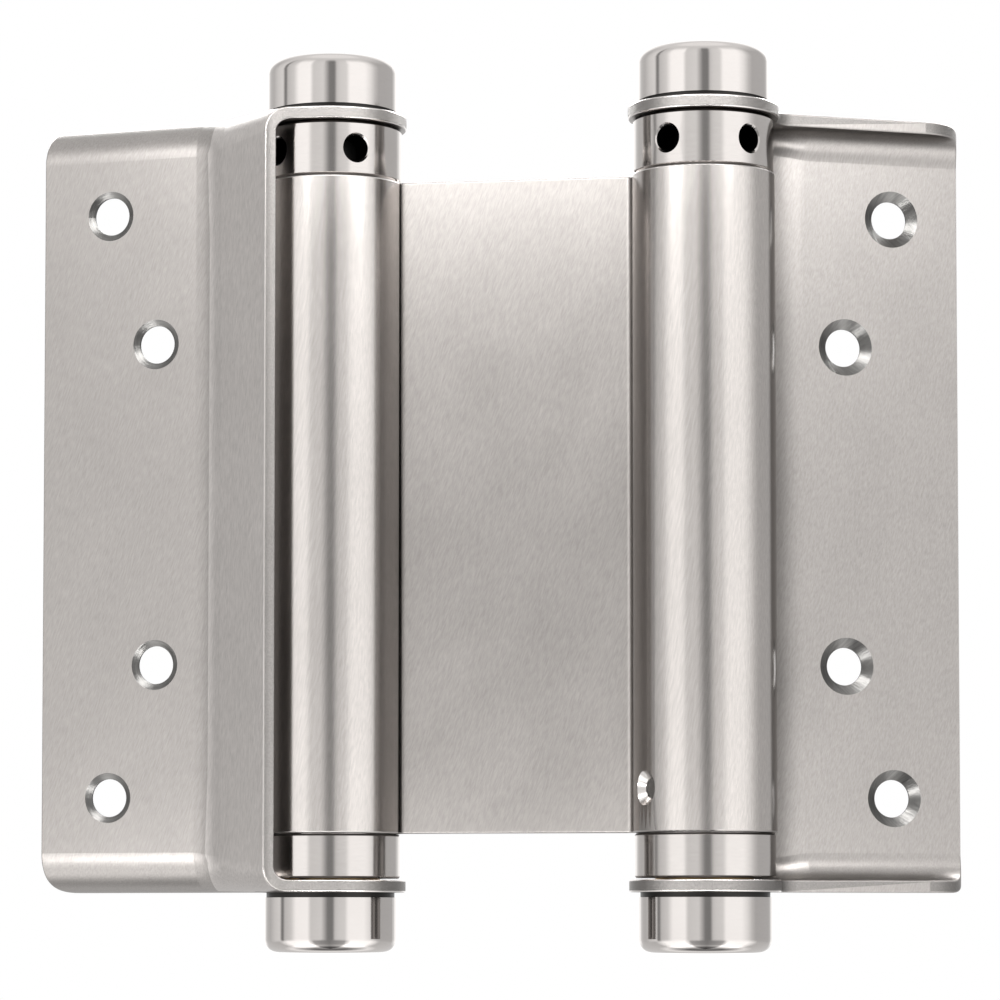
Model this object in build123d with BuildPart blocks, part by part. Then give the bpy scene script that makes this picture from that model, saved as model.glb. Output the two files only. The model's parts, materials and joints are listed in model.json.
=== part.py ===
from build123d import *
import os
from math import acos, asin, atan, atan2, cos, degrees, hypot, sin, sqrt

# A double action cafe door hinge. Two stamped leaves swing on the two rolled tubes of one web plate,
# so the door opens both ways. Millimetres and degrees. The origin is the middle of the jamb leaf's flat
# mounting face, with +Z up along the barrels, and the jamb leaf lies in the XZ plane.

# Sheet and overall sizes
hinge_height = 127.0  # over the outer faces of the ears
sheet = 2.0  # thickness of both leaves
web_sheet = 2.0  # thickness of the web plate
axis_spacing = 61.3  # between the two barrel axes

# The pose it lies in: turns of the web and of the door leaf away from the jamb leaf's plane
web_turn = 11.0
door_turn = 38.2

# Leaf, in its own plan: a runs out from the barrel axis, m towards the mounting face
leaf_reach = 47.9  # barrel axis to the outer end
face_offset = 9.0  # barrel axis to the mounting face
kink_at = 17.8  # where the flat turns into the wall round the barrel
kink_blend = 2.6  # half the length of the rounding there
rim_at = 5.3  # where the wall ends beside the barrel
rim_offset = 15.2
flange_tip = 1.0  # the flanges stop this far short of the barrel axis
flat_bend = 6.5  # outer bend radius of the flanges along the flat
rim_bend = 4.2  # and at the wall's rim
tip_radius = 8.4  # outer corners of the flanges, seen from above
ear_radius = 12.2
ear_blend = 4.0  # concave curve from the round ear to the straight flange
rim_blend = 4.4  # concave curve from the round ear to the wall's rim
sheet_edge = 0.25  # rounding along the cut edges

# Screw holes in each leaf, countersunk on the hollow side and bevelled on the mounting face
screw_radius = 3.1
screw_head_radius = 4.7
screw_head_depth = 1.1
screw_bevel_radius = 4.1
screw_bevel_depth = 0.55
outer_hole_reach = 35.8
outer_hole_height = 48.0
inner_hole_reach = 27.5
inner_hole_height = 26.35

# Web tubes
tube_radius = 11.6
web_bend = 2.0  # mid radius of the bend between plate and tube
roll_gap = 7.5  # angle left open between the rolled edge and the plate

# Barrel pieces
spindle_radius = 4.0
running_gap = 0.05  # radial, round the spindle
collar_radius = 11.4
tension_collar_height = 8.75
plug_collar_height = 7.15
collar_gap = 0.25  # between collar and ear
joint_gap = 0.12  # between collar and tube
collar_spigot = 8.0  # length of the tension collar's spigot in the tube
collar_spigot_gap = 0.1  # radial, turning in the tube
plug_spigot = 14.0
plug_spigot_gap = 0.02  # radial, a tight fit in the tube
collar_edge = 0.35  # chamfer on collar edges
washer_radius = 8.0
washer_thickness = 1.0
washer_gap = 0.1  # between washer and the floor of its recess
washer_side_gap = 0.1

# Radial holes of the tension collars
tommy_count = 5
tommy_radius = 2.1
tommy_edge_radius = 2.45
tommy_floor = 1.6  # metal left between the holes and the spindle bore
jamb_tommy_angle = 312.9  # direction of the first hole, from +X
door_tommy_angle = 329.0

# Cross pins
pin_radius = 1.6
pin_gap = 0.02
pin_length = 5.2
pin_sink = 1.3  # the pin's outer end lies this far below the tube
pin_head_radius = 2.75  # countersink in the tube
pin_height = 7.0  # above the lower end of the tube
pin_angle = 41.1  # from the web plate's direction, at the jamb side

# Caps and spacers
neck_radius = 10.4
neck_thickness = 0.8
top_cap_radius = 10.65
bottom_cap_radius = 10.8
top_cap_height = 8.4
bottom_cap_height = 8.9
cap_edge = 2.2  # rounding
cap_dome = 0.4
cap_bore_depth = 6.6
spindle_end_gap = 0.4
spindle_edge = 0.6

# Torsion spring
wire_radius = 1.4
coil_radius = 7.0
coil_turns = 11
spring_leg = 4.0  # depth of each leg in its hole
spring_leg_gap = 0.15
leg_room = 0.6  # free depth under each leg
leg_inset = 1.25  # along the wire, from the coil's end to the leg's axis
spring_stand_off = 0.4  # between the end coils and the spigots

# Heights, from the middle of the hinge
half_height = hinge_height / 2
ear_face = half_height - sheet
tension_top = ear_face - collar_gap
tension_foot = tension_top - tension_collar_height
tube_top = tension_foot - joint_gap
tension_end = tension_foot - collar_spigot
plug_foot = -ear_face + collar_gap
plug_shoulder = plug_foot + plug_collar_height
tube_foot = plug_shoulder + joint_gap
plug_end = plug_shoulder + plug_spigot
cap_seat = half_height + neck_thickness
tube_bore = tube_radius - web_sheet
bore_radius = spindle_radius + running_gap
leg_turn = degrees(leg_inset / coil_radius)

# Plan positions of the two barrel axes
jamb_axis = Vector((leaf_reach + kink_at) / 2, face_offset)
web_direction = Vector(1, 0).rotate(Axis.Z, web_turn)
door_axis = jamb_axis + web_direction * axis_spacing

# Local planes: each leaf's x runs out from its barrel and y towards its mounting face
jamb_plane = Plane(origin=jamb_axis, x_dir=(-1, 0, 0), z_dir=(0, 0, 1))
door_plane = Plane(origin=door_axis, x_dir=Vector(1, 0).rotate(Axis.Z, door_turn), z_dir=(0, 0, 1))
web_plane = Plane(origin=jamb_axis, x_dir=web_direction, z_dir=(0, 0, 1))

# Shape of a leaf's wall in plan
wall_angle = atan2(rim_offset - face_offset, kink_at - rim_at)
wall_slope = (rim_offset - face_offset) / (kink_at - rim_at)
rim_inside = (rim_at - sheet * sin(wall_angle), rim_offset - sheet * cos(wall_angle))
inside_reach = hypot(*rim_inside)
inside_angle = degrees(atan2(rim_inside[1], rim_inside[0]))
ear_tangent_angle = inside_angle + degrees(acos(ear_radius / inside_reach))
blend_height = flange_tip - ear_blend
blend_centre = (sqrt((ear_radius + ear_blend) ** 2 - blend_height**2), blend_height)
blend_angle = degrees(atan2(blend_centre[1], blend_centre[0]))

# Full cone angles of the screw holes' countersink and bevel
screw_head_angle = 2 * degrees(atan((screw_head_radius - screw_radius) / screw_head_depth))
screw_bevel_angle = 2 * degrees(atan((screw_bevel_radius - screw_radius) / screw_bevel_depth))

# Room past the finished outline for the cuts that trim it
spare = 3.0
upright_slope = 0.001  # a face whose normal tilts less than this stands upright


def face_height(reach):
    """Distance of a leaf's outer face from the barrel axis, at one distance out from it."""
    along_kink = kink_at + kink_blend - reach
    if along_kink <= 0:
        return face_offset
    if along_kink < 2 * kink_blend:
        return face_offset + wall_slope * along_kink**2 / (4 * kink_blend)
    return face_offset + wall_slope * (kink_at - reach)


def bend_at(reach):
    """Outer bend radius of the flanges, which tightens from the kink to the rim."""
    along_wall = min(max((kink_at + kink_blend - reach) / (kink_at + kink_blend - rim_at), 0), 1)
    return flat_bend + (rim_bend - flat_bend) * along_wall


def make_leaf(plane):
    """One stamped leaf: a shallow tray with a slanted wall beside the barrel and two round ears."""
    kink_stations = [kink_at + kink_blend * (1 - step / 2) for step in range(5)]
    wall_stations = [kink_at - kink_blend, rim_at, -ear_radius - spare]
    with BuildPart() as leaf:
        # Sections across the leaf: first its outside, then its hollow, one sheet further in
        for wall, lower, use in ((0, 0, Mode.ADD), (sheet, spare, Mode.SUBTRACT)):
            for stations in ([kink_at + kink_blend], kink_stations, wall_stations):
                for reach in stations:
                    slant = min(max((kink_at + kink_blend - reach) / (2 * kink_blend), 0), 1)
                    top = face_height(reach) - wall * (1 + slant * (1 / cos(wall_angle) - 1))
                    bottom = -ear_radius - spare - lower
                    origin = plane.from_local_coords((reach, 0, 0))
                    with BuildSketch(Plane(origin=origin, x_dir=plane.y_dir, z_dir=plane.x_dir)):
                        with Locations(((top + bottom) / 2, 0)):
                            Rectangle(top - bottom, hinge_height - 2 * wall)
                        fillet(vertices().group_by(Axis.X)[-1], bend_at(reach) - wall)
                if len(stations) == 1:
                    extrude(amount=leaf_reach + spare - stations[0], mode=use)
                else:
                    loft(ruled=stations is wall_stations, mode=use)

        # Trim in plan: round ears, the curve to the straight flanges, and the wall's square-cut rim
        with BuildSketch(plane):
            with BuildLine():
                tip = Line((leaf_reach, flange_tip), (blend_centre[0], flange_tip))
                blend = CenterArc(blend_centre, ear_blend, 90, 90 + blend_angle)
                ear = CenterArc(
                    (0, 0), ear_radius, ear_tangent_angle, 360 + blend_angle - ear_tangent_angle
                )
                tangent = Line(ear @ 0, rim_inside)
                rim = Line(
                    rim_inside,
                    (rim_at + 2 * spare * sin(wall_angle), rim_offset + 2 * spare * cos(wall_angle)),
                )
                side = Line(rim @ 1, (leaf_reach, (rim @ 1).Y))
                Line(side @ 1, tip @ 0)
            make_face()
            fillet(vertices().sort_by_distance((leaf_reach, flange_tip))[0], tip_radius)
            fillet(vertices().sort_by_distance(rim_inside)[0], rim_blend)
        extrude(amount=half_height + spare, both=True, mode=Mode.INTERSECT)

        # Round the rims of the trimmed faces, which stand upright and are arcs or bands one sheet wide
        upright = faces().filter_by(lambda face: abs(face.normal_at().Z) < upright_slope)
        bands = upright.filter_by(GeomType.PLANE).filter_by(lambda face: face.area < sheet * hinge_height)
        trimmed_edges = (upright.filter_by(GeomType.CYLINDER) + bands).edges()
        fillet([edge for edge in trimmed_edges if trimmed_edges.count(edge) == 1], sheet_edge)

        # Spindle holes through both ears
        with Locations(plane):
            Cylinder(bore_radius, hinge_height + 2 * spare, mode=Mode.SUBTRACT)

        # Screw holes, cut from the hollow side and bevelled from the mounting face
        hole_spots = [(outer_hole_reach, outer_hole_height), (inner_hole_reach, inner_hole_height)]
        hole_spots += [(reach, -height) for reach, height in hole_spots]
        hollow_face = Plane(
            origin=plane.from_local_coords((0, face_offset - sheet, 0)),
            x_dir=plane.x_dir, z_dir=-plane.y_dir,
        )
        mounting_face = Plane(
            origin=plane.from_local_coords((0, face_offset, 0)),
            x_dir=-plane.x_dir, z_dir=plane.y_dir,
        )
        with Locations(hollow_face):
            with Locations(*hole_spots):
                CounterSinkHole(
                    screw_radius, screw_head_radius, depth=2 * sheet, counter_sink_angle=screw_head_angle
                )
        with Locations(mounting_face):
            with Locations(*[(-reach, height) for reach, height in hole_spots]):
                CounterSinkHole(
                    screw_radius, screw_bevel_radius, depth=2 * sheet, counter_sink_angle=screw_bevel_angle
                )
    return leaf


# Jamb leaf: screwed to the frame, and the fixed piece of the hinge
jamb_leaf = make_leaf(jamb_plane)
jamb_leaf.part.label = "jamb_leaf"

# Door leaf: the same stamping, turned half round, screwed to the door
door_leaf = make_leaf(door_plane)
door_leaf.part.label = "door_leaf"


def radial_plane(plane, radius, height, angle):
    """Plane that faces out from a barrel's axis, at one radius, height and direction."""
    out = plane.x_dir.rotate(Axis.Z, angle)
    return Plane(origin=plane.origin + out * radius + Vector(0, 0, height), x_dir=(0, 0, 1), z_dir=out)


# Web plate: one sheet, rolled into a tube at each edge, one roll to the back and one to the front
roll_radius = tube_radius - web_sheet / 2
bend_reach = sqrt(roll_radius**2 + 2 * roll_radius * web_bend)
bend_angle = degrees(asin(web_bend / (roll_radius + web_bend)))
pin_spot = tube_foot + pin_height
with BuildPart() as web_plate:
    with BuildSketch(web_plane.offset(tube_foot)):
        for turned, axis_x, side in ((0, 0, 1), (180, axis_spacing, -1)):
            roll = ((axis_x, 0), roll_radius, turned + bend_angle, 360 - roll_gap - bend_angle)
            bend_centre = (axis_x + side * bend_reach, side * web_bend)
            bend = (bend_centre, web_bend, turned + 180 + bend_angle, 90 - bend_angle)
            for centre, mid_radius, start, turn in (roll, bend):
                with BuildLine():
                    outer = CenterArc(centre, mid_radius + web_sheet / 2, start, turn)
                    inner = CenterArc(centre, mid_radius - web_sheet / 2, start, turn)
                    Line(outer @ 0, inner @ 0)
                    Line(outer @ 1, inner @ 1)
                make_face()
        with Locations((axis_spacing / 2, 0)):
            Rectangle(axis_spacing - 2 * bend_reach, web_sheet)
    extrude(amount=tube_top - tube_foot)
    fillet(faces().filter_by(Axis.Z).edges(), sheet_edge)
    for origin, turned in ((jamb_axis, 0), (door_axis, 180)):
        tube_plane = Plane(origin=origin, x_dir=web_direction, z_dir=(0, 0, 1))
        with Locations(radial_plane(tube_plane, tube_radius, pin_spot, pin_angle + turned)):
            CounterSinkHole(pin_radius + pin_gap, pin_head_radius, depth=web_sheet + spare)
web_plate.part.label = "web_plate"


def barrel_pieces(name, axis_spot, pin_direction, tommy_angle):
    """The turned pieces of one barrel, each in its own labelled part."""
    plane = Plane(origin=axis_spot, x_dir=(1, 0, 0), z_dir=(0, 0, 1))
    section = Plane(origin=plane.origin, x_dir=plane.x_dir, z_dir=-plane.y_dir)
    axis = Axis(plane.origin, (0, 0, 1))
    pieces = {}

    # Spindle: a plain rod from cap to cap
    spindle_half = cap_seat + cap_bore_depth - spindle_end_gap
    with BuildPart() as spindle:
        with Locations(plane):
            Cylinder(spindle_radius, 2 * spindle_half)
        chamfer(edges().filter_by(GeomType.CIRCLE), spindle_edge)
    pieces["spindle"] = spindle

    # Tension collar: a head the size of the tube, a spigot inside it, and a recess for the washer
    spigot_radius = tube_bore - collar_spigot_gap
    recess = washer_thickness - collar_gap + washer_gap
    recess_radius = washer_radius + washer_side_gap
    with BuildPart() as tension_collar:
        with BuildSketch(section):
            with BuildLine():
                Polyline(
                    (bore_radius, tension_top - recess), (recess_radius, tension_top - recess),
                    (recess_radius, tension_top), (collar_radius, tension_top),
                    (collar_radius, tension_foot), (spigot_radius, tension_foot),
                    (spigot_radius, tension_end), (bore_radius, tension_end), close=True,
                )
            make_face()
            chamfer(vertices().group_by(Axis.X)[-1], collar_edge)
        revolve(axis=axis)
        tommy_height = (tension_top + tension_foot) / 2
        tommy_depth = collar_radius - bore_radius - tommy_floor
        for index in range(tommy_count):
            direction = tommy_angle + index * 360 / tommy_count
            with Locations(radial_plane(plane, collar_radius, tommy_height, direction)):
                CounterSinkHole(tommy_radius, tommy_edge_radius, depth=tommy_depth)
        leg_spot = plane.origin + plane.x_dir.rotate(Axis.Z, -leg_turn) * coil_radius
        with Locations(Plane(leg_spot + Vector(0, 0, tension_end), z_dir=(0, 0, -1))):
            Hole(wire_radius + spring_leg_gap, depth=spring_leg + leg_room)
    pieces["tension_collar"] = tension_collar

    # Bearing plug: the bottom collar, with a long spigot pinned in the tube
    plug_radius = tube_bore - plug_spigot_gap
    with BuildPart() as bearing_plug:
        with BuildSketch(section):
            with BuildLine():
                Polyline(
                    (bore_radius, plug_foot + recess), (recess_radius, plug_foot + recess),
                    (recess_radius, plug_foot), (collar_radius, plug_foot),
                    (collar_radius, plug_shoulder), (plug_radius, plug_shoulder),
                    (plug_radius, plug_end), (bore_radius, plug_end), close=True,
                )
            make_face()
            chamfer(vertices().group_by(Axis.X)[-1], collar_edge)
        revolve(axis=axis)
        pin_inner = tube_radius - pin_sink - pin_length
        with Locations(radial_plane(plane, plug_radius, pin_spot, pin_direction)):
            Hole(pin_radius + pin_gap, depth=plug_radius - pin_inner + pin_gap)
        leg_spot = plane.origin + plane.x_dir.rotate(Axis.Z, leg_turn) * coil_radius
        with Locations(Plane(leg_spot + Vector(0, 0, plug_end))):
            Hole(wire_radius + spring_leg_gap, depth=spring_leg + leg_room)
    pieces["bearing_plug"] = bearing_plug

    # Cross pin: fixes the plug in the tube
    with BuildPart() as cross_pin:
        with BuildSketch(radial_plane(plane, pin_inner, pin_spot, pin_direction)):
            Circle(pin_radius)
        extrude(amount=pin_length)
    pieces["cross_pin"] = cross_pin

    # Thrust washers, between each ear and its collar
    for end, foot in (("top", ear_face - washer_thickness), ("bottom", -ear_face)):
        with BuildPart() as washer:
            with BuildSketch(plane.offset(foot)):
                Circle(washer_radius)
                Circle(bore_radius, mode=Mode.SUBTRACT)
            extrude(amount=washer_thickness)
        pieces[f"{end}_thrust_washer"] = washer

    # Neck rings, between each ear and its cap
    for end, foot in (("top", half_height), ("bottom", -cap_seat)):
        with BuildPart() as neck:
            with BuildSketch(plane.offset(foot)):
                Circle(neck_radius)
                Circle(bore_radius, mode=Mode.SUBTRACT)
            extrude(amount=neck_thickness)
        pieces[f"{end}_neck"] = neck

    # Cap nuts, with a rounded edge and a slightly domed end
    top_size = ("top", 1, top_cap_radius, top_cap_height)
    bottom_size = ("bottom", -1, bottom_cap_radius, bottom_cap_height)
    for end, up, radius, height in (top_size, bottom_size):
        seat = up * cap_seat
        dome_slope = 2 * cap_dome / (radius - cap_edge)
        with BuildPart() as cap:
            with BuildSketch(section):
                with BuildLine():
                    wall = Polyline(
                        (0, seat + up * cap_bore_depth), (bore_radius, seat + up * cap_bore_depth),
                        (bore_radius, seat), (radius, seat), (radius, seat + up * (height - cap_edge)),
                    )
                    rounding = RadiusArc(
                        wall @ 1, (radius - cap_edge, seat + up * height), -up * cap_edge
                    )
                    top = Spline(
                        rounding @ 1, (0, seat + up * (height + cap_dome)),
                        tangents=((-1, up * dome_slope), (-1, 0)),
                    )
                    Line(top @ 1, wall @ 0)
                make_face()
            revolve(axis=axis)
        pieces[f"{end}_cap"] = cap

    for piece, built in pieces.items():
        built.part.label = f"{name}_{piece}"
    return pieces


# Both barrels
jamb_barrel = barrel_pieces("jamb", jamb_axis, pin_angle + web_turn, jamb_tommy_angle)
door_barrel = barrel_pieces("door", door_axis, pin_angle + web_turn + 180, door_tommy_angle)

# Torsion spring: a long coil with a leg down into the plug and one up into the tension collar
coil_foot = plug_end + wire_radius + spring_stand_off
coil_top = tension_end - wire_radius - spring_stand_off
leg_length = wire_radius + spring_stand_off + spring_leg
with BuildPart() as spring:
    with BuildLine():
        coil_pitch = (coil_top - coil_foot) / coil_turns
        coil = Helix(coil_pitch, coil_top - coil_foot, coil_radius, center=(0, 0, coil_foot))
    with BuildSketch(Plane(origin=coil @ 0, z_dir=coil % 0)):
        Circle(wire_radius)
    sweep(path=coil.edge(), is_frenet=True)
    for along, up in ((leg_inset / coil.length, -1), (1 - leg_inset / coil.length, 1)):
        with BuildSketch(Plane(origin=coil @ along, z_dir=(0, 0, up))):
            Circle(wire_radius)
        extrude(amount=leg_length)

springs = []
for name, axis_spot in (("jamb", jamb_axis), ("door", door_axis)):
    placed = spring.part.moved(Location(axis_spot))
    placed.label = f"{name}_spring"
    springs.append(placed)

os.makedirs("parts", exist_ok=True)
built_pieces = [jamb_leaf, door_leaf, web_plate, *jamb_barrel.values(), *door_barrel.values()]
for piece in [built.part for built in built_pieces] + springs:
    export_step(piece, f"parts/{piece.label}.step")
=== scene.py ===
import json
from math import cos, hypot, pi, radians, sin

import bpy
from mathutils import Euler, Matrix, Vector


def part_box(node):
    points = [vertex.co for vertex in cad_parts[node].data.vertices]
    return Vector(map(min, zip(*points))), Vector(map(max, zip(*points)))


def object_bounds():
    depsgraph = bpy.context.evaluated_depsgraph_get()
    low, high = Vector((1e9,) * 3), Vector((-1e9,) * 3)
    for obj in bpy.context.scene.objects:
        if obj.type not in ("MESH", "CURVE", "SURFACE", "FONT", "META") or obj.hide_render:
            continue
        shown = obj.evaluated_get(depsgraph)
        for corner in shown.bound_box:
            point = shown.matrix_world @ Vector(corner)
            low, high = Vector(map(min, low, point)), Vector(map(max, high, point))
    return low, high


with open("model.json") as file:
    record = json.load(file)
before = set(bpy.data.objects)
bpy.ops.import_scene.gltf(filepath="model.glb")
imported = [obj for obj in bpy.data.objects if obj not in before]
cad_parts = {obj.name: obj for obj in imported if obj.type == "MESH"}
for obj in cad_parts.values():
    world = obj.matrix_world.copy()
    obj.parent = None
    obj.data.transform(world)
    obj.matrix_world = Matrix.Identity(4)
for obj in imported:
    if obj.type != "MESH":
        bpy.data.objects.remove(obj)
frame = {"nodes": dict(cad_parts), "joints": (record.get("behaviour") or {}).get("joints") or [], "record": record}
cad_low, cad_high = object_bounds()

# Leaves: the jamb leaf and the door leaf are one stamping each, pressed from 2 mm stainless sheet into a
# shallow tray with round ears. The faces are belt-ground with strokes that lean off the vertical, and the
# slanted walls are painted lighter as painted light. The cut edges are left sheared and sandy with bright
# worn corners, the countersinks are dark with turning marks, and their straight bores are painted near
# black as painted shade.
nodes = frame["nodes"]
mounts = {mount["name"]: mount for mount in frame["record"]["mounts"]}
joints = {joint["name"]: joint for joint in frame["joints"]}
barrels = {side: Vector(joints[f"{side}_swing"]["pos_m"]) for side in ("jamb", "door")}
millimetre = 0.001
leaf_colour = (0.362, 0.341, 0.326)
# Painted light: the slanted walls take the leaf's satin in a lighter colour, for the light they lack
wall_painted_light_colour = (0.55, 0.52, 0.50)
sheared_colour = (0.25, 0.238, 0.228)
bright_line_colour = (0.70, 0.668, 0.645)
countersink_colour = (0.17, 0.166, 0.16)
# Painted shade: the straight bores of the screw holes are near black
bore_shade_colour = (0.05, 0.049, 0.047)
leaf_grain_lean = radians(-20)
wall_grain_lean = radians(-9)
grain = (4200, 4200, 560)
grain_depth = 0.000007
grain_tone = 0.28
sandy = (4200, 4200, 4200)
sandy_tone = 0.35
cutter_marks = (300, 4200, 300)
cutter_tone = 0.6
rough_depth = 0.00005
worn_marks = (900, 900, 900)
drill_marks = (3000, 3000, 3000)
drill_tone = 0.2

# Sizes of the stamping by which the finishes are placed, in metres and radians
wall_lean = radians(26.4)
kink_reach = 0.0178
stamped_depth = 0.0135
rim_reach = 0.018
rim_half_height = 0.058
ear_rim_inside = 0.01190
ear_rim_outside = 0.01235
countersink_reach = 0.00485

# Limits of a face's normal: how far it rises, and its share across the sheet
upright_rise = 0.05
lying_rise = 0.97
least_level = 0.3
turn_slack = 0.05
rim_corner_start = 0.45
edge_corner_start = 0.2
corner_end = 0.985
sheet_face = 0.95
bore_face = 0.2


def empty_tree(owner):
    """Turns on the nodes of a material or world and gives its tree, emptied."""
    owner.use_nodes = True
    owner.node_tree.nodes.clear()
    return owner.node_tree


def add_node(tree, kind, values=None, **settings):
    """Adds a node to a tree, with its settings and the values of its sockets."""
    node = tree.nodes.new(kind)
    for key, setting in settings.items():
        setattr(node, key, setting)
    for socket, value in (values or {}).items():
        node.inputs[socket].default_value = value
    return node


def steel(name, colour, roughness, lean=0.0, stroke=(3800, 3800, 260), depth=0.000004, tone=0.05):
    """A bare steel with ground strokes. lean turns them in the XZ plane, stroke holds their number per metre
    along each axis, depth is the bump and tone the contrast of single strokes."""
    patch_limit = 900
    strokes_per_patch = 9
    patch_tone = 0.02
    patch_roughness = 0.04
    usual_noise = {"From Min": 0.3, "From Max": 0.7}
    material = bpy.data.materials.new(name)
    tree = empty_tree(material)

    def join(source, out, target, into):
        tree.links.new(source.outputs[out], target.inputs[into])

    output = add_node(tree, "ShaderNodeOutputMaterial")
    shader = add_node(tree, "ShaderNodeBsdfPrincipled", {"Metallic": 1.0})
    join(shader, "BSDF", output, "Surface")

    place = add_node(tree, "ShaderNodeTexCoord")
    turned = add_node(tree, "ShaderNodeMapping", {"Rotation": (0, lean, 0)})
    join(place, "Object", turned, "Vector")
    stretched = add_node(tree, "ShaderNodeMapping", {"Scale": stroke})
    join(turned, "Vector", stretched, "Vector")
    strokes = add_node(tree, "ShaderNodeTexNoise", {"Scale": 1.0, "Detail": 3.0, "Roughness": 0.6})
    join(stretched, "Vector", strokes, "Vector")

    patch_count = [min(count, patch_limit) / strokes_per_patch for count in stroke]
    wide = add_node(tree, "ShaderNodeMapping", {"Scale": patch_count})
    join(turned, "Vector", wide, "Vector")
    patches = add_node(tree, "ShaderNodeTexNoise", {"Scale": 1.0, "Detail": 2.0})
    join(wide, "Vector", patches, "Vector")

    dark_stroke = [share * (1 - tone) for share in colour] + [1]
    light_stroke = [share * (1 + tone) for share in colour] + [1]
    fine = add_node(tree, "ShaderNodeMix", {"A": dark_stroke, "B": light_stroke}, data_type="RGBA")
    join(strokes, "Fac", fine, "Factor")
    gain_range = {"To Min": 1 - patch_tone, "To Max": 1 + patch_tone}
    gain = add_node(tree, "ShaderNodeMapRange", {**usual_noise, **gain_range})
    join(patches, "Fac", gain, "Value")
    shade = add_node(tree, "ShaderNodeVectorMath", operation="SCALE")
    join(fine, "Result", shade, 0)
    join(gain, "Result", shade, "Scale")
    join(shade, "Vector", shader, "Base Color")

    gloss_range = {"To Min": roughness * (1 - patch_roughness), "To Max": roughness * (1 + patch_roughness)}
    gloss = add_node(tree, "ShaderNodeMapRange", {**usual_noise, **gloss_range})
    join(patches, "Fac", gloss, "Value")
    join(gloss, "Result", shader, "Roughness")

    relief = add_node(tree, "ShaderNodeBump", {"Strength": 1.0, "Distance": depth})
    join(strokes, "Fac", relief, "Height")
    join(relief, "Normal", shader, "Normal")
    return material


def dress(names, *materials):
    """Gives CAD nodes their finishes, the first one all over."""
    for name in names:
        mesh = nodes[name].data
        mesh.materials.clear()
        for material in materials:
            mesh.materials.append(material)


def pick(name, material, test):
    """Gives one of a CAD node's finishes to the faces that pass a test of their centre and normal."""
    mesh = nodes[name].data
    slot = mesh.materials.find(material.name)
    for face in mesh.polygons:
        if test(face.center, face.normal):
            face.material_index = slot


leaf_satin = steel("leaf_satin", leaf_colour, 0.36, leaf_grain_lean, grain, grain_depth, grain_tone)
# Painted light: the same satin as the leaf, only lighter in colour
wall_satin_painted_light = steel("wall_satin_painted_light", wall_painted_light_colour, 0.33, wall_grain_lean, grain, grain_depth, grain_tone)
sheared_edge = steel("sheared_edge", sheared_colour, 0.45, 0.0, sandy, rough_depth, sandy_tone)
bright_line = steel("bright_line", bright_line_colour, 0.22, stroke=worn_marks)
turned_cut = steel("turned_cut", countersink_colour, 0.28, 0.0, cutter_marks, rough_depth, cutter_tone)
bore_painted_shade = steel("bore_painted_shade", bore_shade_colour, 0.4, stroke=drill_marks, tone=drill_tone)
dress(["jamb_leaf", "door_leaf"], leaf_satin, sheared_edge, turned_cut, wall_satin_painted_light, bright_line, bore_painted_shade)

for side, barrel in barrels.items():
    facing = Vector(mounts[f"{side}_face"]["axis"])
    outward = Vector((facing.y, -facing.x, 0))
    wall_facing = outward * sin(wall_lean) + facing * cos(wall_lean)
    hole_axes = []
    for row in ("outer", "inner"):
        screws = mounts[f"{side}_{row}_screws"]
        spacing_mm = screws["dims"].get("spacing_y_mm") or screws["dims"]["pcd_mm"]
        half_spacing = spacing_mm * millimetre / 2
        for up in (-half_spacing, half_spacing):
            hole_axes.append(Vector(screws["pos_m"]) + Vector((0, 0, up)))

    def sheared(centre, normal):
        """True on the upright faces that the blank was cut to, and false on the stamped ones."""
        if abs(normal.z) > upright_rise:
            return False
        along_facing = abs(normal.dot(facing)) > cos(wall_lean + turn_slack)
        along_wall = abs(normal.dot(wall_facing)) > cos(wall_lean + turn_slack)
        stamped = along_facing and along_wall and (centre - barrel).dot(wall_facing) > stamped_depth
        return not stamped

    def slanted(centre, normal):
        """True on the outside of the slanted wall and its bends, as far as the middle of the kink."""
        level = Vector((normal.x, normal.y, 0))
        if level.length < least_level or (centre - barrel).dot(outward) > kink_reach:
            return False
        return level.normalized().dot(wall_facing) > cos(wall_lean + turn_slack)

    def worn_corner(centre, normal):
        """True on the worn corners of the cut edges, upright ones and those round the ears."""
        from_barrel = hypot(centre.x - barrel.x, centre.y - barrel.y)
        if abs(normal.z) > upright_rise:
            return ear_rim_inside < from_barrel < ear_rim_outside and abs(normal.z) < lying_rise
        if from_barrel < ear_rim_outside or abs(centre.z) > rim_half_height:
            return False
        near_rim = from_barrel < rim_reach
        corner_start = rim_corner_start if near_rim else edge_corner_start
        across = abs(normal.dot(wall_facing if near_rim else facing))
        return sheared(centre, normal) and corner_start < across < corner_end

    def countersunk(centre, normal):
        """True inside the screw holes."""
        if abs(normal.dot(facing)) > sheet_face:
            return False
        return any((centre - spot).cross(facing).length < countersink_reach for spot in hole_axes)

    def straight_bore(centre, normal):
        """True on the straight part of the screw holes."""
        return countersunk(centre, normal) and abs(normal.dot(facing)) < bore_face

    # Painted light: the slanted walls take the lighter copy of the satin
    pick(f"{side}_leaf", wall_satin_painted_light, slanted)
    pick(f"{side}_leaf", sheared_edge, sheared)
    pick(f"{side}_leaf", bright_line, worn_corner)
    pick(f"{side}_leaf", turned_cut, countersunk)
    # Painted shade: the straight bores take the near black finish
    pick(f"{side}_leaf", bore_painted_shade, straight_bore)

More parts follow.
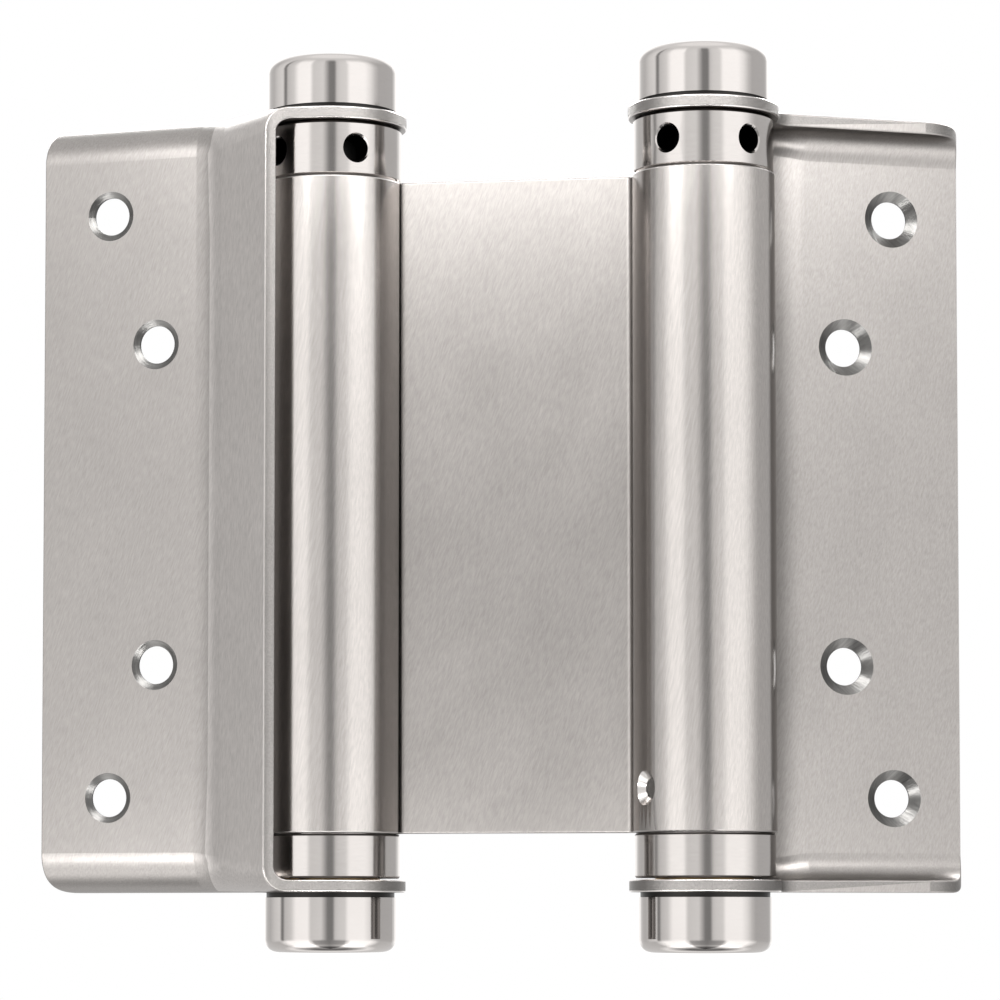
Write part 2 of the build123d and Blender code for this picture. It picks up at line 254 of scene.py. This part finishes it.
# Web plate: one stainless sheet, rolled into a tube at each edge and ground the same way as the leaves. The
# tubes are polished brighter than the flat, with dull ends and countersunk pin holes low in their sides.
web_colour = (0.398, 0.374, 0.357)
tube_colour = (0.635, 0.598, 0.572)
tube_end_colour = (0.42, 0.398, 0.382)
tube_grain = (4200, 4200, 420)
tube_grain_lean = radians(-12)
tube_grain_tone = 0.16
tube_reach = 0.0119
end_rounding = 0.0003
pin_head_reach = 0.0030
web_satin = steel("web_satin", web_colour, 0.34, leaf_grain_lean, grain, grain_depth, grain_tone)
tube_satin = steel("tube_satin", tube_colour, 0.19, tube_grain_lean, tube_grain, tone=tube_grain_tone)
tube_end = steel("tube_end", tube_end_colour, 0.45, stroke=worn_marks)
dress(["web_plate"], web_satin, bright_line, tube_satin, tube_end)
web_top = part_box("web_plate")[1].z
for side, barrel in barrels.items():
    pin_low, pin_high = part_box(f"{side}_cross_pin")
    pin_middle = (pin_low + pin_high) / 2
    pin_way = Vector((pin_middle.x - barrel.x, pin_middle.y - barrel.y, 0)).normalized()

    def rolled(centre, normal):
        """True on the tube round this barrel."""
        return hypot(centre.x - barrel.x, centre.y - barrel.y) < tube_reach

    def cut_end(centre, normal):
        """True on the rounded ends of this tube."""
        return rolled(centre, normal) and abs(centre.z) > web_top - end_rounding

    def pin_hole(centre, normal):
        """True in the countersunk hole over the cross pin."""
        away = centre - pin_middle
        over_pin = away.cross(pin_way).length < pin_head_reach and away.dot(pin_way) > 0
        return over_pin and normal.dot(pin_way) < sheet_face

    pick("web_plate", tube_satin, rolled)
    pick("web_plate", tube_end, cut_end)
    pick("web_plate", bright_line, pin_hole)

# Barrel insides: ground steel spindles and cross pins, oiled torsion springs round the spindles, and bronze
# thrust washers between collars and ears. Only the end of one pin shows from outside.
rod_colour = (0.58, 0.57, 0.56)
wire_colour = (0.2, 0.2, 0.21)
bronze_colour = (0.62, 0.42, 0.20)
ground_rings = (400, 400, 5000)
drawn_marks = (2500, 2500, 500)
ground_rod = steel("ground_rod", rod_colour, 0.2, stroke=ground_rings, depth=0.000002)
oiled_wire = steel("oiled_wire", wire_colour, 0.35, stroke=drawn_marks, depth=0.000003)
bearing_bronze = steel("bearing_bronze", bronze_colour, 0.35, stroke=drawn_marks, depth=0.000003)
for side in barrels:
    dress([f"{side}_spindle", f"{side}_cross_pin"], ground_rod)
    dress([f"{side}_spring"], oiled_wire)
    dress([f"{side}_top_thrust_washer", f"{side}_bottom_thrust_washer"], bearing_bronze)

# Collars: the tension collars on the tubes and the bearing plugs under them are turned from bar to the size
# of the tubes and polished. The tension collars have five radial holes for a tommy bar, painted near black
# inside as painted shade.
collar_colour = (0.67, 0.634, 0.61)
# Painted shade: the insides of the tommy bar holes are near black
tommy_hole_shade_colour = (0.035, 0.034, 0.033)
hole_half_height = 0.0023
hole_floor_radius = 0.0054
hole_mouth_radius = 0.01115
turned_rings = (500, 500, 4200)
collar_polish = steel("collar_polish", collar_colour, 0.13, stroke=turned_rings, depth=0.0000015)
tommy_hole_painted_shade = steel("tommy_hole_painted_shade", tommy_hole_shade_colour, 0.35, stroke=drill_marks, depth=0.000006)
for side, barrel in barrels.items():
    dress([f"{side}_bearing_plug"], collar_polish)
    dress([f"{side}_tension_collar"], collar_polish, tommy_hole_painted_shade)
    hole_height = mounts[f"{side}_tommy_right"]["pos_m"][2]

    def tommy_hole(centre, normal):
        """True inside the radial holes."""
        from_barrel = hypot(centre.x - barrel.x, centre.y - barrel.y)
        within_wall = hole_floor_radius < from_barrel < hole_mouth_radius
        return within_wall and abs(centre.z - hole_height) < hole_half_height

    # Painted shade: the tommy holes take the near black finish
    pick(f"{side}_tension_collar", tommy_hole_painted_shade, tommy_hole)

# Caps and neck rings: turned steel cap nuts with a rounded edge, polished like a mirror. They are screwed on
# the spindles' ends, up against thin spacer rings that are painted near black as the shade in the groove.
cap_colour = (0.665, 0.63, 0.608)
# Painted shade: the spacer rings are near black, for the shade in the groove between cap and ear
neck_shade_colour = (0.05, 0.048, 0.046)
cap_polish = steel("cap_polish", cap_colour, 0.085, stroke=turned_rings, depth=0.000001, tone=0.03)
neck_painted_shade = steel("neck_painted_shade", neck_shade_colour, 0.4, stroke=turned_rings, depth=0.000003)
for side in barrels:
    dress([f"{side}_top_cap", f"{side}_bottom_cap"], cap_polish)
    dress([f"{side}_top_neck", f"{side}_bottom_neck"], neck_painted_shade)

# Studio floor: plain and pale, under the hinge, with a little glow for the camera alone. Polished metal does
# not mirror it, the room below serves instead.
floor_gap = 0.12
floor_size = 6.0
floor_colour = (0.8, 0.8, 0.8, 1)
floor_glow = 0.3
white = (1, 1, 1, 1)
bpy.ops.mesh.primitive_plane_add(size=floor_size, location=(0, 0, cad_low.z - floor_gap))
floor = bpy.context.object
floor.name = "floor"
floor.visible_glossy = False
floor_paint = bpy.data.materials.new("floor_paint")
paint_tree = empty_tree(floor_paint)
matt = add_node(paint_tree, "ShaderNodeBsdfDiffuse", {"Color": floor_colour})
glow = add_node(paint_tree, "ShaderNodeEmission", {"Color": white})
seen = add_node(paint_tree, "ShaderNodeLightPath")
seen_glow = add_node(paint_tree, "ShaderNodeMath", {1: floor_glow}, operation="MULTIPLY")
both = add_node(paint_tree, "ShaderNodeAddShader")
painted = add_node(paint_tree, "ShaderNodeOutputMaterial")
paint_tree.links.new(seen.outputs["Is Camera Ray"], seen_glow.inputs[0])
paint_tree.links.new(seen_glow.outputs[0], glow.inputs["Strength"])
paint_tree.links.new(matt.outputs[0], both.inputs[0])
paint_tree.links.new(glow.outputs[0], both.inputs[1])
paint_tree.links.new(both.outputs[0], painted.inputs["Surface"])
floor.data.materials.append(floor_paint)

# Room: white to the camera. The metal mirrors a studio with tall soft boxes, dark gaps and grey walls, given
# by the turn from the camera's side in degrees, at eye level and low down, and by the height in degrees.
camera_turn = radians(-69.5)
eye_level = [
    (-180, 1.25), (-152, 1.25), (-144, 0.75), (-135, 0.62), (-125, 0.60), (-110, 0.82), (-96, 0.92),
    (-91, 0.25), (-88, 0.25), (-84, 0.70), (-70, 0.86), (-60, 1.30), (-38, 1.34), (-32, 0.84), (-14, 0.90),
    (-9, 0.62), (-3, 0.27), (6, 0.25), (10, 0.76), (15, 0.86), (27, 0.92), (33, 1.32), (62, 1.32),
    (74, 1.05), (84, 0.72), (93, 0.55), (134, 0.55), (144, 0.75), (152, 1.25), (180, 1.25),
]
low_down = [
    (-180, 0.70), (-100, 0.60), (-78, 1.40), (-38, 1.55), (-28, 0.45), (0, 0.25), (28, 0.45), (38, 1.50),
    (78, 1.40), (100, 0.60), (180, 0.70),
]
heights = [
    (-90, 0.28), (-74, 0.30), (-63, 1.00), (-53, 1.80), (-43, 1.15), (-10, 1.05), (0, 1.02), (5, 0.86),
    (11, 1.08), (30, 1.05), (45, 1.00), (62, 1.05), (72, 1.30), (90, 1.30),
]
low_down_end = radians(-16)
eye_level_start = radians(-7)
ceiling_start = radians(32)
ceiling_full = radians(55)
ceiling_colour = (0.85, 0.85, 0.85, 1)
dimming = 0.05
dimming_start = 2
dimming_end = 3.4
world = bpy.data.worlds.new("studio")
bpy.context.scene.world = world
room = empty_tree(world)


def span(source, low, high, to_low=0.0, to_high=1.0):
    """Maps an angle or a share to another range."""
    limits = {"From Min": low, "From Max": high, "To Min": to_low, "To Max": to_high}
    node = add_node(room, "ShaderNodeMapRange", limits)
    room.links.new(source, node.inputs["Value"])
    return node.outputs["Result"]


def scale_of_light(source, steps):
    """A ramp over degrees, from (degrees, brightness) steps. The source goes from 0 to 1 over all of them."""
    anywhere = 0.5
    lowest = steps[0][0]
    highest = steps[-1][0]
    ramp = add_node(room, "ShaderNodeValToRGB")
    stops = ramp.color_ramp.elements
    while len(stops) < len(steps):
        stops.new(anywhere)
    for stop, (degree, bright) in zip(stops, steps):
        stop.position = (degree - lowest) / (highest - lowest)
        stop.color = (bright, bright, bright, 1)
    room.links.new(source, ramp.inputs["Fac"])
    return ramp.outputs["Color"]


direction = add_node(room, "ShaderNodeTexCoord")
from_camera = add_node(room, "ShaderNodeMapping", {"Rotation": (0, 0, -camera_turn)}, vector_type="VECTOR")
room.links.new(direction.outputs["Generated"], from_camera.inputs["Vector"])
split = add_node(room, "ShaderNodeSeparateXYZ")
room.links.new(from_camera.outputs["Vector"], split.inputs["Vector"])
angle = add_node(room, "ShaderNodeMath", operation="ARCTAN2")
room.links.new(split.outputs["Y"], angle.inputs[0])
room.links.new(split.outputs["X"], angle.inputs[1])
height = add_node(room, "ShaderNodeMath", operation="ARCSINE")
room.links.new(split.outputs["Z"], height.inputs[0])
turn_share = span(angle.outputs[0], -pi, pi)
height_share = span(height.outputs[0], -pi / 2, pi / 2)

walls = add_node(room, "ShaderNodeMix", data_type="RGBA")
room.links.new(span(height.outputs[0], low_down_end, eye_level_start), walls.inputs["Factor"])
room.links.new(scale_of_light(turn_share, low_down), walls.inputs["A"])
room.links.new(scale_of_light(turn_share, eye_level), walls.inputs["B"])
ceiling = add_node(room, "ShaderNodeMix", {"B": ceiling_colour}, data_type="RGBA")
room.links.new(span(height.outputs[0], ceiling_start, ceiling_full), ceiling.inputs["Factor"])
room.links.new(walls.outputs["Result"], ceiling.inputs["A"])
lit = add_node(room, "ShaderNodeMix", {"Factor": 1.0}, data_type="RGBA", blend_type="MULTIPLY")
room.links.new(ceiling.outputs["Result"], lit.inputs["A"])
room.links.new(scale_of_light(height_share, heights), lit.inputs["B"])

# Light that has bounced between the pieces before it reaches the room is dimmed, as in a closed corner
path = add_node(room, "ShaderNodeLightPath")
mirrored = add_node(room, "ShaderNodeBackground")
behind = add_node(room, "ShaderNodeBackground", {"Color": white})
room.links.new(lit.outputs["Result"], mirrored.inputs["Color"])
dimmed = span(path.outputs["Ray Depth"], dimming_start, dimming_end, 1.0, dimming)
room.links.new(dimmed, mirrored.inputs["Strength"])
choose = add_node(room, "ShaderNodeMixShader")
room.links.new(path.outputs["Is Camera Ray"], choose.inputs[0])
room.links.new(mirrored.outputs[0], choose.inputs[1])
room.links.new(behind.outputs[0], choose.inputs[2])
surroundings = add_node(room, "ShaderNodeOutputWorld")
room.links.new(choose.outputs[0], surroundings.inputs["Surface"])

# Near lamps: long soft boxes that light the three sheets alone and grade the flat plates, one over and one
# under the front, and one over the back.
sheets = bpy.data.collections.new("sheets")
for name in ("jamb_leaf", "door_leaf", "web_plate"):
    sheets.objects.link(nodes[name])


def soft_lamp(name, place, aim, width, depth, brightness):
    """A soft box for the three sheets. brightness is what a mirror would show of it, with white as 1."""
    lamp_data = bpy.data.lights.new(name, "AREA")
    lamp_data.shape = "RECTANGLE"
    lamp_data.size = width
    lamp_data.size_y = depth
    lamp_data.energy = brightness * pi * width * depth
    lamp = bpy.data.objects.new(name, lamp_data)
    lamp.location = place
    lamp.rotation_euler = (Vector(aim) - Vector(place)).to_track_quat("-Z", "Y").to_euler()
    lamp.visible_camera = False
    lamp.light_linking.receiver_collection = sheets
    bpy.context.scene.collection.objects.link(lamp)


soft_lamp("over_front", (0.11, -0.115, 0.133), (0.065, 0.0, 0.045), width=0.36, depth=0.08, brightness=6.6)
soft_lamp("under_front", (0.09, -0.120, -0.105), (0.06, 0.0, -0.05), width=0.40, depth=0.025, brightness=10.0)
soft_lamp("over_back", (0.03, 0.16, 0.15), (0.055, 0.02, 0.05), width=0.40, depth=0.08, brightness=8.0)

# Camera: at the viewing angle of the photograph, low in front and a little to the right, and shifted to take
# in the whole hinge from there.
camera_data = bpy.data.cameras.new("camera")
camera = bpy.data.objects.new("camera", camera_data)
bpy.context.scene.collection.objects.link(camera)
camera.location = (0.307884, -0.647938, -0.06818)
camera.rotation_euler = Euler((radians(93.637), 0, radians(20.5)))
camera_data.lens = 157.35
camera_data.sensor_width = 36
camera_data.shift_y = 0.14368
camera_data.clip_start = 0.01
camera_data.clip_end = 20
bpy.context.scene.camera = camera
bpy.context.scene.view_settings.view_transform = "Standard"
